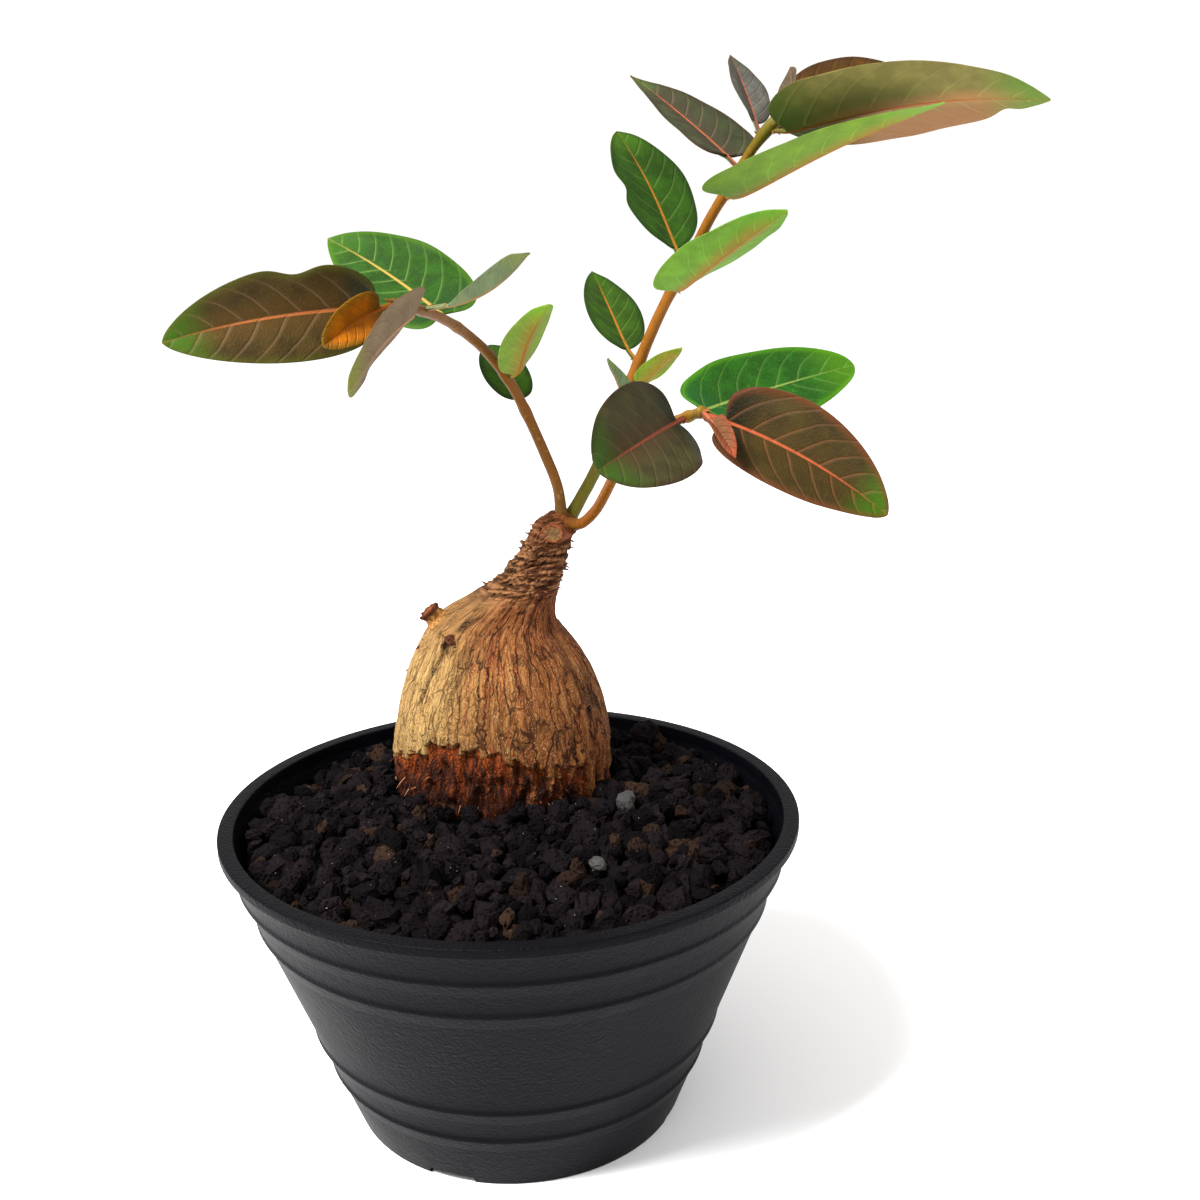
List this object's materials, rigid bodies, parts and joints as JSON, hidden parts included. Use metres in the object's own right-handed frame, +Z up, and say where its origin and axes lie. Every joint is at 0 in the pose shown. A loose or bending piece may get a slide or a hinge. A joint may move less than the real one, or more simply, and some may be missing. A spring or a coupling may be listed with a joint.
{
  "type": "potted caudiciform plant",
  "caption": "Potted succulent shrub with a swollen bottle-shaped trunk, a ringed leaning neck, thin shoots with large oval leaves, and black lava grit in a round ribbed pot.",
  "frame": {"origin": "on the floor under the centre of the pot", "axes": "+Z up, -Y the side that the plant shows best, +X the way the trunk's neck leans"},
  "size_m": [0.1577, 0.1273, 0.2153],
  "materials": {
    "pot_plastic": "satin charcoal black, finely pebbled",
    "lava_grit": "dry, rough, porous",
    "bark": "matt tan bark with fine furrows, darker and redder at the soil",
    "stem_bark": "smooth orange-brown bark of young shoots",
    "leaf_green": "soft satin, mature green leaf",
    "leaf_bronze": "soft satin, bronze-green leaf with a pink-orange midrib",
    "leaf_pale": "matt pale green leaf, mostly seen from its underside",
    "leaf_young": "satin, orange to salmon unfolding leaf"
  },
  "bodies": {
    "root": {"pot": "pot_plastic", "soil": "lava_grit", "caudex": "bark", "stem_left": "stem_bark", "stem_tall": "stem_bark", "stem_front": "stem_bark", "leaf_left_1": "leaf_bronze", "leaf_left_2": "leaf_green", "leaf_left_3": "leaf_pale", "leaf_left_4": "leaf_pale", "leaf_left_5": "leaf_young", "leaf_left_6": "leaf_pale", "leaf_left_7": "leaf_green", "leaf_tall_1": "leaf_green", "leaf_tall_2": "leaf_pale", "leaf_tall_3": "leaf_pale", "leaf_tall_4": "leaf_green", "leaf_tall_5": "leaf_pale", "leaf_tall_6": "leaf_bronze", "leaf_tall_7": "leaf_bronze", "leaf_tall_8": "leaf_bronze", "leaf_tall_9": "leaf_bronze", "leaf_tall_10": "leaf_young", "leaf_front_1": "leaf_bronze", "leaf_front_2": "leaf_bronze", "leaf_front_3": "leaf_green", "leaf_front_4": "leaf_young", "leaf_front_5": "leaf_pale"}
  },
  "joints": []
}
